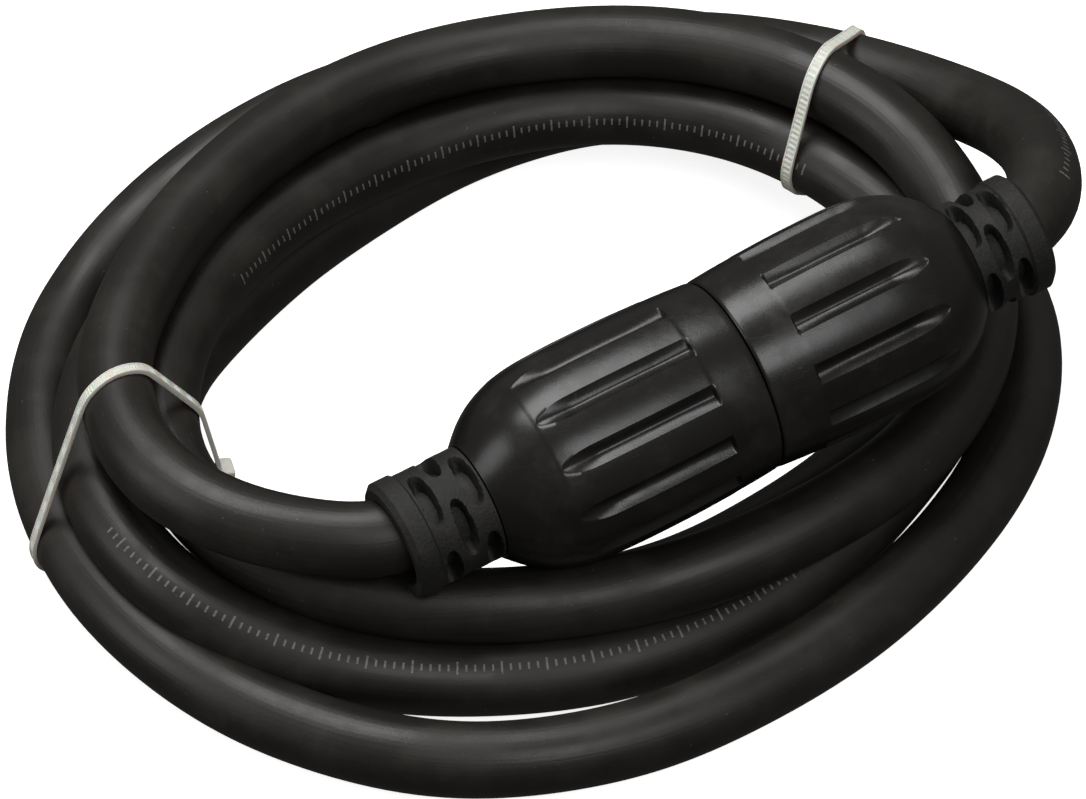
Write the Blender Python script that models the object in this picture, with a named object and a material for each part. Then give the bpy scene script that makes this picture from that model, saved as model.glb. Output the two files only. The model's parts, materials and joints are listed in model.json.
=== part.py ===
"""Shore power cord: a moulded plug mated into its moulded connector, on one heavy three-core cord.

The cord is wound into a flat coil and held by two cable ties. The plug and the connector lie across
the coil on one straight line, the pair axis. Everything is in metres, +Z up, standing on z = 0.
"""
import math

import bmesh
import bpy
import numpy as np
from mathutils import Matrix, Vector

MM = 0.001
GAP = 0.3 * MM

# ---- the cord ----
CORD_DIAMETER = 17.0 * MM
CORD_BORE_CLEARANCE = 0.4 * MM
LEAD_POINT_SPACING = 0.73 * CORD_DIAMETER
LEAD_BEVEL_RESOLUTION = 4
LEAD_STRAIGHT = 4.0 * MM
LEAD_CLEAR_AHEAD = 8.0 * MM
LEAD_CURVE_STEPS = 12
JACKET_SET_BACK = 3.0 * MM

# ---- the pair axis: through the middle of the seam, from plug to connector ----
SEAM_MIDDLE = Vector((41.9, -33.2, 52.8)) * MM
PAIR_YAW = math.radians(28.9)
PAIR_RISE = math.radians(7.3)

# ---- housings, measured along the pair axis from the seam ----
SEAM_GAP = 0.4 * MM
SEAM_CHAMFER = 0.4 * MM
PLUG_SHELL_LENGTH = 64.8 * MM
CONNECTOR_SHELL_LENGTH = 58.3 * MM
SEAM_RADIUS = 23.0 * MM
BARREL_RADIUS = 24.2 * MM
NECK_RADIUS = 13.8 * MM
DOME_LENGTH = 22.0 * MM
DOME_STEPS = 6
DOME_EDGE_DROP = 0.3 * MM
BARREL_RISE_SHARE = 0.2
BARREL_FULL_SHARE = 0.42
INSERT_RADIUS = 16.7 * MM
INSERT_LENGTH = 17.4 * MM
WIRING_RADIUS = 13.6 * MM
THROAT_LENGTH = 9.0 * MM
WIRING_END_FROM_NECK = 17.0 * MM

# ---- strain reliefs ----
RELIEF_RADIUS = 13.4 * MM
RELIEF_COLLAR_RADIUS = 14.0 * MM
RELIEF_COLLAR_LENGTH = 6.4 * MM
RELIEF_COLLAR_RAMP = 0.6 * MM
RELIEF_CHAMFER = 1.2 * MM
RELIEF_MOUTH_FLARE = 1.6 * MM
PLUG_RELIEF_LENGTH = 21.0 * MM
CONNECTOR_RELIEF_LENGTH = 18.0 * MM
RELIEF_SLOT_ROWS = 3
RELIEF_SLOTS_PER_ROW = 5
RELIEF_SLOT_WIDTH = 2.8 * MM
RELIEF_SLOT_LENGTH = 9.0 * MM
RELIEF_SLOT_DEPTH = 2.6 * MM
RELIEF_SLOT_PROUD = 0.8 * MM

# ---- contacts ----
BLADE_WIDTH = 7.0 * MM
BLADE_THICKNESS = 1.6 * MM
BLADE_REACH = 22.0 * MM
BLADE_TAIL = 5.0 * MM
BLADE_OFFSET = 8.0 * MM
BLADE_RISE = 2.0 * MM
BLADE_TILT = math.radians(45.0)
BLADE_BEVEL = 0.3 * MM
EARTH_PIN_RADIUS = 2.4 * MM
EARTH_PIN_REACH = 25.0 * MM
EARTH_TIP_STEPS = 4
EARTH_OFFSET = 9.0 * MM
CONTACT_WALL = 0.8 * MM
CONTACT_CLEARANCE = 0.3 * MM
CONTACT_LENGTH = 15.0 * MM
CONTACT_SET_BACK = 9.0 * MM
POCKET_CLEARANCE = 0.3 * MM
CRIMP_RADIUS = 2.9 * MM
CRIMP_BORE = 2.0 * MM
CRIMP_LENGTH = 7.0 * MM
WIRE_RADIUS = 1.7 * MM
WIRE_RING_RADIUS = 4.0 * MM
WIRE_STEPS = 6
WIRE_SPREAD = math.radians(60.0)

# ---- the coil: its outline at every 30 degrees round its middle, in millimetres ----
COIL_MIDDLE = Vector((0.0, 0.0, 0.0))
COIL_SECTIONS = 48
# inner radius, outer radius, crest's inner and outer radius, crest height, inner and outer shoulder
COIL_OUTLINE = (
    (73.5, 118.5, 93.0, 104.0, 34.0, 17.0, 17.0),
    (90.0, 124.0, 101.0, 111.0, 41.0, 15.0, 10.0),
    (86.0, 125.5, 96.0, 111.0, 45.0, 17.0, 25.0),
    (78.0, 116.0, 87.0, 102.0, 45.0, 17.0, 25.0),
    (69.5, 115.0, 80.0, 97.0, 46.0, 17.0, 22.0),
    (69.5, 121.5, 79.0, 96.0, 47.5, 20.0, 17.0),
    (76.5, 123.5, 85.0, 104.0, 33.0, 17.0, 17.0),
    (73.5, 122.5, 83.0, 104.0, 33.0, 17.0, 17.0),
    (62.5, 121.5, 82.0, 96.0, 28.0, 15.0, 17.0),
    (54.5, 116.5, 78.0, 86.0, 29.0, 14.0, 17.0),
    (54.0, 107.5, 72.0, 84.0, 30.0, 15.0, 17.0),
    (58.0, 108.5, 79.0, 91.0, 31.5, 17.0, 17.0),
)

# ---- the cord's two free stretches, from each strain relief to the coil, in millimetres ----
PLUG_LEAD_ROUTE = (
    (-44.6, -72.8, 41.5),
    (-56.6, -72.1, 42.0),
    (-67.6, -69.7, 43.0),
    (-77.7, -63.4, 43.5),
    (-86.4, -54.8, 43.5),
    (-93.1, -42.5, 43.0),
    (-96.4, -26.2, 42.8),
    (-96.4, -13.2, 42.5),
)
CONNECTOR_LEAD_ROUTE = (
    (114.2, 26.4, 58.0),
    (113.1, 41.8, 51.0),
    (108.5, 59.5, 42.0),
    (100.8, 73.0, 35.5),
)

# ---- cable ties ----
TIE_WIDTH = 3.0 * MM
TIE_THICKNESS = 1.2 * MM
TIE_GROOVE_CLEARANCE = 0.4 * MM
TIE_FLOOR_CLEARANCE = 0.2 * MM
TIE_HEAD = Vector((4.2, 5.0, 5.0)) * MM
TIE_HEAD_HEIGHT = 8.0 * MM
TIE_HEAD_BITE = 0.6 * MM
TIE_GROOVE_LENGTH = 120.0 * MM
TIE_GROOVE_RADIUS = 95.0 * MM
LEFT_TIE_ANGLE = math.radians(195.0)
RIGHT_TIE_ANGLE = math.radians(52.0)
# crest of the left tie, which also goes over the plug's lead
LEFT_TIE_CREST = (91.0 * MM, 110.0 * MM, 52.5 * MM)

ROUND_SEGMENTS = 32
SMALL_SEGMENTS = 16
SHARP_EDGE = math.radians(35.0)

# ---- colour, roughness and metalness of each kind of surface ----
JACKET = ((0.02, 0.019, 0.018), 0.5, 0.0)
HOUSING = ((0.02, 0.019, 0.018), 0.35, 0.0)
RELIEF = ((0.025, 0.024, 0.023), 0.75, 0.0)
FACE = ((0.03, 0.03, 0.03), 0.5, 0.0)
BRASS = ((0.78, 0.62, 0.3), 0.25, 1.0)
NYLON = ((0.75, 0.75, 0.7), 0.35, 0.0)
WIRE_LOOKS = {
    "line": ((0.02, 0.02, 0.02), 0.45, 0.0),
    "neutral": ((0.8, 0.8, 0.78), 0.45, 0.0),
    "earth": ((0.02, 0.3, 0.08), 0.45, 0.0),
}


# ---------------------------------------------------------------- scene, materials, small helpers
def clear_scene():
    for old in list(bpy.data.objects):
        bpy.data.objects.remove(old, do_unlink=True)


def material(name, look):
    colour, roughness, metallic = look
    made = bpy.data.materials.new(name)
    made.use_nodes = True
    shader = made.node_tree.nodes["Principled BSDF"]
    shader.inputs["Base Color"].default_value = (*colour, 1.0)
    shader.inputs["Roughness"].default_value = roughness
    shader.inputs["Metallic"].default_value = metallic
    return made


def make_object(name, mesh, look, parent=None):
    obj = bpy.data.objects.new(name, mesh)
    bpy.context.scene.collection.objects.link(obj)
    obj.data.materials.append(material(name, look))
    if parent is not None:
        obj.parent = parent
    return obj


def finish_mesh(name, bm, smooth=True):
    """Turn a bmesh into a mesh whose faces point out and whose round sides are shaded smooth."""
    bmesh.ops.remove_doubles(bm, verts=bm.verts, dist=1e-7)
    bmesh.ops.recalc_face_normals(bm, faces=bm.faces)
    mesh = bpy.data.meshes.new(name)
    bm.to_mesh(mesh)
    bm.free()
    if smooth:
        mesh.shade_smooth()
        mesh.set_sharp_from_angle(angle=SHARP_EDGE)
    return mesh


def turned(name, profile, segments=ROUND_SEGMENTS):
    """A closed solid turned round the local X axis from a closed loop of (x, radius) points."""
    bm = bmesh.new()
    rings = []
    for x, radius in profile:
        if radius < 1e-9:
            rings.append([bm.verts.new((x, 0.0, 0.0))])
            continue
        ring = []
        for k in range(segments):
            angle = 2.0 * math.pi * k / segments
            ring.append(bm.verts.new((x, radius * math.cos(angle), radius * math.sin(angle))))
        rings.append(ring)
    for a, b in zip(rings, rings[1:] + rings[:1]):
        if len(a) == 1 and len(b) == 1:
            continue
        for k in range(segments):
            j = (k + 1) % segments
            corners = [a[k % len(a)], a[j % len(a)], b[j % len(b)], b[k % len(b)]]
            unique = list(dict.fromkeys(corners))
            bm.faces.new(unique)
    return finish_mesh(name, bm)


def rod(name, start, end, radius, segments=SMALL_SEGMENTS):
    return turned(name, [(start, 0.0), (start, radius), (end, radius), (end, 0.0)], segments)


def sleeve(name, start, end, radius, bore, segments=SMALL_SEGMENTS):
    return turned(name, [(start, bore), (start, radius), (end, radius), (end, bore)], segments)


def block_mesh(name, size, centre, turn=0.0):
    """A rectangular block along X, turned about X at its own centre."""
    bm = bmesh.new()
    bmesh.ops.create_cube(bm, size=1.0)
    bmesh.ops.scale(bm, vec=size, verts=bm.verts)
    bmesh.ops.rotate(bm, cent=(0, 0, 0), matrix=Matrix.Rotation(turn, 3, "X"), verts=bm.verts)
    bmesh.ops.translate(bm, vec=centre, verts=bm.verts)
    return finish_mesh(name, bm, smooth=False)


def cut(target, cutter_mesh, parent=None, operation="DIFFERENCE"):
    """Cut one mesh out of an object, or join one to it, keeping the cutter as a hidden guide."""
    cutter = bpy.data.objects.new(target.name + "_cutter", cutter_mesh)
    bpy.context.scene.collection.objects.link(cutter)
    cutter.parent = parent
    cutter.hide_render = True
    cutter.display_type = "WIRE"
    modifier = target.modifiers.new("cut", "BOOLEAN")
    modifier.operation = operation
    modifier.solver = "EXACT"
    modifier.object = cutter
    return cutter


def merged(name, meshes):
    """Several separate closed meshes in one mesh, for a cutter with many bodies."""
    bm = bmesh.new()
    for mesh in meshes:
        bm.from_mesh(mesh)
    mesh = bpy.data.meshes.new(name)
    bm.to_mesh(mesh)
    bm.free()
    return mesh


# ---------------------------------------------------------------- plug and connector
def shell_profile(side, length):
    """Closed (x, radius) loop of a hollow housing that runs from the seam to its neck."""
    face = SEAM_GAP / 2.0
    dome_start = length - DOME_LENGTH
    dome_radius = BARREL_RADIUS - DOME_EDGE_DROP
    outer = [(face, SEAM_RADIUS - SEAM_CHAMFER), (face + SEAM_CHAMFER, SEAM_RADIUS)]
    outer.append((face + BARREL_RISE_SHARE * length, (SEAM_RADIUS + 2.0 * BARREL_RADIUS) / 3.0))
    outer.append((BARREL_FULL_SHARE * length, BARREL_RADIUS))
    outer.append((dome_start, dome_radius))
    for k in range(1, DOME_STEPS + 1):
        angle = 0.5 * math.pi * k / DOME_STEPS
        drop = (dome_radius - NECK_RADIUS) * (1.0 - math.cos(angle))
        outer.append((dome_start + DOME_LENGTH * math.sin(angle), dome_radius - drop))
    bore = CORD_DIAMETER / 2.0 + CORD_BORE_CLEARANCE
    insert_seat = face + INSERT_LENGTH + 2.0 * GAP
    pocket = INSERT_RADIUS + GAP
    inner = [(length, bore), (length - THROAT_LENGTH, bore)]
    inner.append((length - WIRING_END_FROM_NECK, WIRING_RADIUS))
    inner.append((insert_seat, WIRING_RADIUS))
    inner.append((insert_seat, pocket))
    inner.append((face, pocket))
    return [(side * x, radius) for x, radius in outer + inner]


def relief_mesh(name, side, start, length):
    """A strain relief sleeve with a chamfered collar at the cord's end."""
    bore = CORD_DIAMETER / 2.0 + CORD_BORE_CLEARANCE
    end = start + length
    collar = end - RELIEF_COLLAR_LENGTH
    loop = [
        (start, bore),
        (start, RELIEF_RADIUS),
        (collar - RELIEF_COLLAR_RAMP, RELIEF_RADIUS),
        (collar, RELIEF_COLLAR_RADIUS),
        (end - RELIEF_CHAMFER, RELIEF_COLLAR_RADIUS),
        (end, RELIEF_COLLAR_RADIUS - RELIEF_CHAMFER),
        (end, bore + RELIEF_MOUTH_FLARE),
        (collar, bore),
    ]
    return turned(name, [(side * x, radius) for x, radius in loop])


def relief_slots(name, side, start, length):
    """Rows of slots round a strain relief, each row turned half a slot from the last."""
    usable = length - RELIEF_COLLAR_LENGTH
    pitch = usable / RELIEF_SLOT_ROWS
    made = []
    for row in range(RELIEF_SLOT_ROWS):
        x = side * (start + pitch * (row + 0.5))
        for k in range(RELIEF_SLOTS_PER_ROW):
            angle = 2.0 * math.pi * (k + 0.5 * (row % 2)) / RELIEF_SLOTS_PER_ROW
            radius = RELIEF_RADIUS - RELIEF_SLOT_DEPTH / 2.0 + RELIEF_SLOT_PROUD
            centre = (x, radius * math.cos(angle), radius * math.sin(angle))
            size = (RELIEF_SLOT_WIDTH, RELIEF_SLOT_DEPTH, RELIEF_SLOT_LENGTH)
            made.append(block_mesh("slot", size, centre, angle))
    return merged(name, made)


def shift_mesh(mesh, y, z):
    for vertex in mesh.vertices:
        vertex.co.y += y
        vertex.co.z += z
    return mesh


def blade_place(sign):
    """Middle of a line or neutral blade in the plane across the pair axis, and its tilt."""
    return sign * BLADE_OFFSET, BLADE_RISE, sign * BLADE_TILT


def wire_curve(name, start, end, parent, look):
    """An insulated conductor from its crimp to the end of the cord's jacket."""
    curve = bpy.data.curves.new(name, "CURVE")
    curve.dimensions = "3D"
    curve.bevel_depth = WIRE_RADIUS
    curve.bevel_resolution = 2
    curve.use_fill_caps = True
    spline = curve.splines.new("POLY")
    spline.points.add(WIRE_STEPS)
    for k in range(WIRE_STEPS + 1):
        share = k / WIRE_STEPS
        ease = share * share * (3.0 - 2.0 * share)
        x = start[0] + (end[0] - start[0]) * share
        y = start[1] + (end[1] - start[1]) * ease
        z = start[2] + (end[2] - start[2]) * ease
        spline.points[k].co = (x, y, z, 1.0)
    return make_object(name, curve, look, parent)


def half(kind, side, shell_length, relief_length, parent):
    """One moulded half: shell, insert, strain relief, crimps and wires. kind is plug or connector."""
    face = SEAM_GAP / 2.0
    name = kind + "_grip_shell"
    make_object(name, turned(name, shell_profile(side, shell_length)), HOUSING, parent)
    relief_start = shell_length + GAP
    name = kind + "_strain_relief"
    relief = make_object(name, relief_mesh(name, side, relief_start, relief_length), RELIEF, parent)
    cut(relief, relief_slots(kind + "_slots", side, relief_start, relief_length), parent)
    name = kind + "_face_insert"
    body = rod(name, side * (face + GAP), side * (face + INSERT_LENGTH), INSERT_RADIUS, ROUND_SEGMENTS)
    insert = make_object(name, body, FACE, parent)
    pockets = []
    middle = side * (face + INSERT_LENGTH / 2.0)
    wall = 2.0 * (CONTACT_WALL + CONTACT_CLEARANCE) if kind == "connector" else 0.0
    for sign in (-1.0, 1.0):
        y, z, tilt = blade_place(sign)
        width = BLADE_WIDTH + wall + 2.0 * POCKET_CLEARANCE
        thickness = BLADE_THICKNESS + wall + 2.0 * POCKET_CLEARANCE
        size = (2.0 * INSERT_LENGTH, thickness, width)
        pockets.append(block_mesh("pocket", size, (middle, y, z), tilt))
    pin_bore = EARTH_PIN_RADIUS + wall / 2.0 + POCKET_CLEARANCE
    bore_mesh = rod("pocket", middle - INSERT_LENGTH, middle + INSERT_LENGTH, pin_bore)
    pockets.append(shift_mesh(bore_mesh, 0.0, -EARTH_OFFSET))
    cut(insert, merged(kind + "_pockets", pockets), parent)


def crimp_and_wire(kind, pole, tail, y, z, angle, parent):
    """A crimp ferrule just behind a contact, and the conductor that leaves it."""
    side, shell_length = HALVES[kind]
    start = tail + GAP
    end = start + CRIMP_LENGTH
    name = f"{kind}_{pole}_crimp"
    mesh = shift_mesh(sleeve(name, side * start, side * end, CRIMP_RADIUS, CRIMP_BORE), y, z)
    make_object(name, mesh, BRASS, parent)
    jacket_end = shell_length - THROAT_LENGTH - JACKET_SET_BACK
    first = (side * (end + GAP), y, z)
    ring_y = WIRE_RING_RADIUS * math.cos(angle)
    ring_z = WIRE_RING_RADIUS * math.sin(angle)
    last = (side * (jacket_end - GAP), ring_y, ring_z)
    wire_curve(f"{kind}_{pole}_wire", first, last, parent, WIRE_LOOKS[pole])


# side of the seam and shell length of each half
HALVES = {"plug": (-1.0, PLUG_SHELL_LENGTH), "connector": (1.0, CONNECTOR_SHELL_LENGTH)}


def poles():
    """Name, place across the axis, tilt, and the angle at which the conductor meets the cord."""
    for pole, sign in (("line", -1.0), ("neutral", 1.0)):
        y, z, tilt = blade_place(sign)
        yield pole, y, z, tilt, 0.5 * math.pi - sign * WIRE_SPREAD
    yield "earth", 0.0, -EARTH_OFFSET, 0.0, 1.5 * math.pi


def plug_contacts(parent):
    face = SEAM_GAP / 2.0
    tail = face + INSERT_LENGTH + BLADE_TAIL
    for pole, y, z, tilt, angle in poles():
        if pole == "earth":
            name = "plug_earth_pin"
            loop = [(-tail, 0.0), (-tail, EARTH_PIN_RADIUS)]
            shoulder = EARTH_PIN_REACH - EARTH_PIN_RADIUS
            loop.append((shoulder, EARTH_PIN_RADIUS))
            for k in range(1, EARTH_TIP_STEPS + 1):
                turn = 0.5 * math.pi * k / EARTH_TIP_STEPS
                radius = EARTH_PIN_RADIUS * math.cos(turn) if k < EARTH_TIP_STEPS else 0.0
                loop.append((shoulder + EARTH_PIN_RADIUS * math.sin(turn), radius))
            mesh = shift_mesh(turned(name, loop, SMALL_SEGMENTS), y, z)
        else:
            name = f"plug_{pole}_blade"
            size = (tail + BLADE_REACH, BLADE_THICKNESS, BLADE_WIDTH)
            mesh = block_mesh(name, size, ((BLADE_REACH - tail) / 2.0, y, z), tilt)
        obj = make_object(name, mesh, BRASS, parent)
        if pole != "earth":
            bevel = obj.modifiers.new("edge", "BEVEL")
            bevel.width = BLADE_BEVEL
            bevel.segments = 1
        crimp_and_wire("plug", pole, tail, y, z, angle, parent)


def connector_contacts(parent):
    start = CONTACT_SET_BACK
    end = start + CONTACT_LENGTH
    for pole, y, z, tilt, angle in poles():
        if pole == "earth":
            name = "connector_earth_sleeve"
            bore = EARTH_PIN_RADIUS + CONTACT_CLEARANCE
            sleeve_end = max(end, EARTH_PIN_REACH + GAP)
            mesh = shift_mesh(sleeve(name, start, sleeve_end, bore + CONTACT_WALL, bore), y, z)
            make_object(name, mesh, BRASS, parent)
        else:
            name = f"connector_{pole}_contact"
            inner_width = BLADE_WIDTH + 2.0 * CONTACT_CLEARANCE
            inner_thickness = BLADE_THICKNESS + 2.0 * CONTACT_CLEARANCE
            outer_width = inner_width + 2.0 * CONTACT_WALL
            outer = (end - start, inner_thickness + 2.0 * CONTACT_WALL, outer_width)
            middle = ((start + end) / 2.0, y, z)
            obj = make_object(name, block_mesh(name, outer, middle, tilt), BRASS, parent)
            hole = (2.0 * (end - start), inner_thickness, inner_width)
            cut(obj, block_mesh(name + "_hole", hole, middle, tilt), parent)
        crimp_start = max(end, EARTH_PIN_REACH + GAP)
        crimp_and_wire("connector", pole, crimp_start, y, z, angle, parent)


# ---------------------------------------------------------------- coil, leads, ties
def catmull(values, position):
    """A smooth closed curve through evenly spaced values, read at a position counted in steps."""
    count = len(values)
    k = int(math.floor(position)) % count
    t = position - math.floor(position)
    a, b, c, d = (values[(k + j) % count] for j in (-1, 0, 1, 2))
    return 0.5 * (2 * b + (c - a) * t + (2 * a - 5 * b + 4 * c - d) * t * t + (3 * b - a - 3 * c + d) * t**3)


def coil_section(angle):
    """Closed (radius, height) loop of the coil's outline at an angle round its middle."""
    position = (angle / (2.0 * math.pi)) * len(COIL_OUTLINE)
    columns = list(zip(*COIL_OUTLINE))
    inner, outer, crest_in, crest_out, crest, inner_side, outer_side = (
        catmull(column, position) * MM for column in columns
    )
    return [
        (inner, 0.0),
        (outer, 0.0),
        (outer, outer_side),
        (crest_out, crest),
        (crest_in, crest),
        (inner, inner_side),
    ]


def coil_point(angle, radius, height):
    direction = Vector((math.cos(angle), math.sin(angle), 0.0))
    return COIL_MIDDLE + direction * radius + Vector((0.0, 0.0, height))


def make_coil():
    bm = bmesh.new()
    rings = []
    for k in range(COIL_SECTIONS):
        angle = 2.0 * math.pi * k / COIL_SECTIONS
        rings.append([bm.verts.new(coil_point(angle, r, z)) for r, z in coil_section(angle)])
    for a, b in zip(rings, rings[1:] + rings[:1]):
        for i in range(len(a)):
            j = (i + 1) % len(a)
            bm.faces.new((a[i], a[j], b[j], b[i]))
    coil = make_object("cord_coil", finish_mesh("cord_coil", bm), JACKET)
    grooves = []
    for angle in (LEFT_TIE_ANGLE, RIGHT_TIE_ANGLE):
        depth = TIE_FLOOR_CLEARANCE + TIE_THICKNESS + TIE_GROOVE_CLEARANCE
        size = (TIE_GROOVE_LENGTH, TIE_WIDTH + 2.0 * TIE_GROOVE_CLEARANCE, 2.0 * depth)
        groove = block_mesh("groove", size, (0.0, 0.0, 0.0))
        turn = Matrix.Rotation(angle, 4, "Z")
        turn.translation = coil_point(angle, TIE_GROOVE_RADIUS, 0.0)
        groove.transform(turn)
        grooves.append(groove)
    cut(coil, merged("tie_grooves", grooves))
    return coil


def offset_loop(loop, distance):
    """A closed (radius, height) loop moved outward by a distance, mitred at its corners."""
    points = np.array(loop)
    before = points - np.roll(points, 1, axis=0)
    after = np.roll(points, -1, axis=0) - points
    before /= np.linalg.norm(before, axis=1)[:, None]
    after /= np.linalg.norm(after, axis=1)[:, None]
    normal_before = np.stack([before[:, 1], -before[:, 0]], 1)
    normal_after = np.stack([after[:, 1], -after[:, 0]], 1)
    mitre = normal_before + normal_after
    mitre /= (1.0 + (normal_before * normal_after).sum(axis=1))[:, None]
    return points + mitre * distance


def make_tie(name, angle, crest=None):
    """A cable tie drawn round the bundle, with its square head low on the inner side."""
    loop = coil_section(angle)
    if crest is not None:
        crest_in, crest_out, height = crest
        loop[3] = (crest_out, height)
        loop[4] = (crest_in, height)
    inside = offset_loop(loop, GAP)
    outside = offset_loop(loop, GAP + TIE_THICKNESS)
    inside[:2, 1] = TIE_FLOOR_CLEARANCE + TIE_THICKNESS
    outside[:2, 1] = TIE_FLOOR_CLEARANCE
    turn = Matrix.Rotation(angle, 3, "Z")
    bm = bmesh.new()
    rows = []
    for tangent, points in ((-0.5, inside), (0.5, inside), (0.5, outside), (-0.5, outside)):
        row = []
        for radius, height in points:
            place = COIL_MIDDLE + turn @ Vector((radius, tangent * TIE_WIDTH, height))
            row.append(bm.verts.new(place))
        rows.append(row)
    for a, b in zip(rows, rows[1:] + rows[:1]):
        for i in range(len(a)):
            j = (i + 1) % len(a)
            bm.faces.new((a[i], a[j], b[j], b[i]))
    tie = make_object(name, finish_mesh(name, bm, smooth=False), NYLON)
    radius = outside[0][0] - TIE_HEAD.x / 2.0 + TIE_HEAD_BITE
    head = block_mesh(name + "_head", TIE_HEAD, (0.0, 0.0, 0.0))
    place = turn.to_4x4()
    place.translation = COIL_MIDDLE + turn @ Vector((radius, 0.0, TIE_HEAD_HEIGHT))
    head.transform(place)
    cut(tie, head, operation="UNION")
    return tie


def smooth_route(points, spacing):
    """Evenly spaced points on a smooth open curve through the given ones."""
    knots = [Vector(p) for p in points]
    ends = [knots[0] * 2.0 - knots[1]] + knots + [knots[-1] * 2.0 - knots[-2]]
    dense = []
    for a, b, c, d in zip(ends, ends[1:], ends[2:], ends[3:]):
        for k in range(LEAD_CURVE_STEPS):
            t = k / LEAD_CURVE_STEPS
            p = 2 * b + (c - a) * t + (2 * a - 5 * b + 4 * c - d) * t * t
            dense.append(0.5 * (p + (3 * b - a - 3 * c + d) * t**3))
    dense.append(knots[-1])
    lengths = [0.0]
    for a, b in zip(dense, dense[1:]):
        lengths.append(lengths[-1] + (b - a).length)
    count = max(2, round(lengths[-1] / spacing))
    wanted = np.linspace(0.0, lengths[-1], count + 1)
    columns = np.array([list(p) for p in dense])
    return np.stack([np.interp(wanted, lengths, columns[:, axis]) for axis in range(3)], axis=1)


def make_lead(name, points):
    curve = bpy.data.curves.new(name, "CURVE")
    curve.dimensions = "3D"
    curve.bevel_depth = CORD_DIAMETER / 2.0
    curve.bevel_resolution = LEAD_BEVEL_RESOLUTION
    curve.use_fill_caps = True
    route = smooth_route(points, LEAD_POINT_SPACING)
    spline = curve.splines.new("POLY")
    spline.points.add(len(route) - 1)
    for point, place in zip(spline.points, route):
        point.co = (*place, 1.0)
    return make_object(name, curve, JACKET)


def main():
    clear_scene()
    turn = Matrix.Rotation(PAIR_YAW, 4, "Z") @ Matrix.Rotation(-PAIR_RISE, 4, "Y")
    place = turn.copy()
    place.translation = SEAM_MIDDLE
    pair = bpy.data.objects.new("pair_axis", None)
    bpy.context.scene.collection.objects.link(pair)
    pair.matrix_world = place
    half("plug", -1.0, PLUG_SHELL_LENGTH, PLUG_RELIEF_LENGTH, pair)
    half("connector", 1.0, CONNECTOR_SHELL_LENGTH, CONNECTOR_RELIEF_LENGTH, pair)
    plug_contacts(pair)
    connector_contacts(pair)
    make_coil()
    make_tie("left_cable_tie", LEFT_TIE_ANGLE, LEFT_TIE_CREST)
    make_tie("right_cable_tie", RIGHT_TIE_ANGLE)
    axis = turn.to_3x3() @ Vector((1.0, 0.0, 0.0))
    leads = (
        ("plug_lead", -1.0, PLUG_SHELL_LENGTH, PLUG_RELIEF_LENGTH, PLUG_LEAD_ROUTE),
        ("connector_lead", 1.0, CONNECTOR_SHELL_LENGTH, CONNECTOR_RELIEF_LENGTH, CONNECTOR_LEAD_ROUTE),
    )
    for name, side, shell_length, relief_length, route in leads:
        jacket_end = shell_length - THROAT_LENGTH - JACKET_SET_BACK
        mouth = shell_length + GAP + relief_length
        inside = [jacket_end, (jacket_end + mouth) / 2.0, mouth - RELIEF_COLLAR_LENGTH, mouth + LEAD_STRAIGHT]
        points = [SEAM_MIDDLE + axis * (side * s) for s in inside]
        knots = [Vector(p) * MM for p in route]
        nearest = mouth + LEAD_CLEAR_AHEAD
        points += [p for p in knots if (p - SEAM_MIDDLE).dot(axis * side) > nearest]
        make_lead(name, points)


main()
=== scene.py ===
"""Looks of a coiled shore power cord whose moulded plug is mated into its moulded connector.

Lengths are in metres, or in millimetres where a name ends in _MM. The finishes and the camera come
first, then the cord, the housings, their strain reliefs and the cable ties, then the room.
"""
import json
import math

import bpy
import numpy as np
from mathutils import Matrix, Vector


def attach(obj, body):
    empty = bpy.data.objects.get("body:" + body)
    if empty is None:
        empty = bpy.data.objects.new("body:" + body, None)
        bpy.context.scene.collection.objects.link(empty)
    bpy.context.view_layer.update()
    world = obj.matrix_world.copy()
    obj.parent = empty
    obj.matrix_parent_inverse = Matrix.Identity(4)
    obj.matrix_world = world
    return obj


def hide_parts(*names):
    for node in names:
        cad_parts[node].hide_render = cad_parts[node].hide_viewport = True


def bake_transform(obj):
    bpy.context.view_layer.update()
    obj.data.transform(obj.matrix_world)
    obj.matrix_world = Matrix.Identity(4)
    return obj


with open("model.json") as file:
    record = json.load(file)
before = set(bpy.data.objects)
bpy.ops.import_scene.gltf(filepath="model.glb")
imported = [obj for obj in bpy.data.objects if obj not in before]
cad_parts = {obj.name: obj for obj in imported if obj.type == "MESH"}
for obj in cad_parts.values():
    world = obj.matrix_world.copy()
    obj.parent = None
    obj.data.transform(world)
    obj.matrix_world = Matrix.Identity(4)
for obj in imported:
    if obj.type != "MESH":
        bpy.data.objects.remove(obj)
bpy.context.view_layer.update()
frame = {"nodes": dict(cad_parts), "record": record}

MM = 0.001
TURN = 2.0 * math.pi

# ---- the pair axis: through the middle of the seam, from plug to connector, as in the CAD ----
SEAM_MIDDLE = np.array([41.9, -33.2, 52.8]) * MM
PAIR_YAW = math.radians(28.9)
PAIR_RISE = math.radians(7.3)
PAIR_AXIS = np.array(
    [
        math.cos(PAIR_YAW) * math.cos(PAIR_RISE),
        math.sin(PAIR_YAW) * math.cos(PAIR_RISE),
        math.sin(PAIR_RISE),
    ]
)
PAIR_SIDE = np.array([-math.sin(PAIR_YAW), math.cos(PAIR_YAW), 0.0])
PAIR_TOP = np.cross(PAIR_AXIS, PAIR_SIDE)
PLUG_SHELL_MM = 64.8
CONNECTOR_SHELL_MM = 58.3
PLUG_RELIEF_MM = 21.0
CONNECTOR_RELIEF_MM = 18.0
RELIEF_GAP_MM = 0.3

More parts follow.
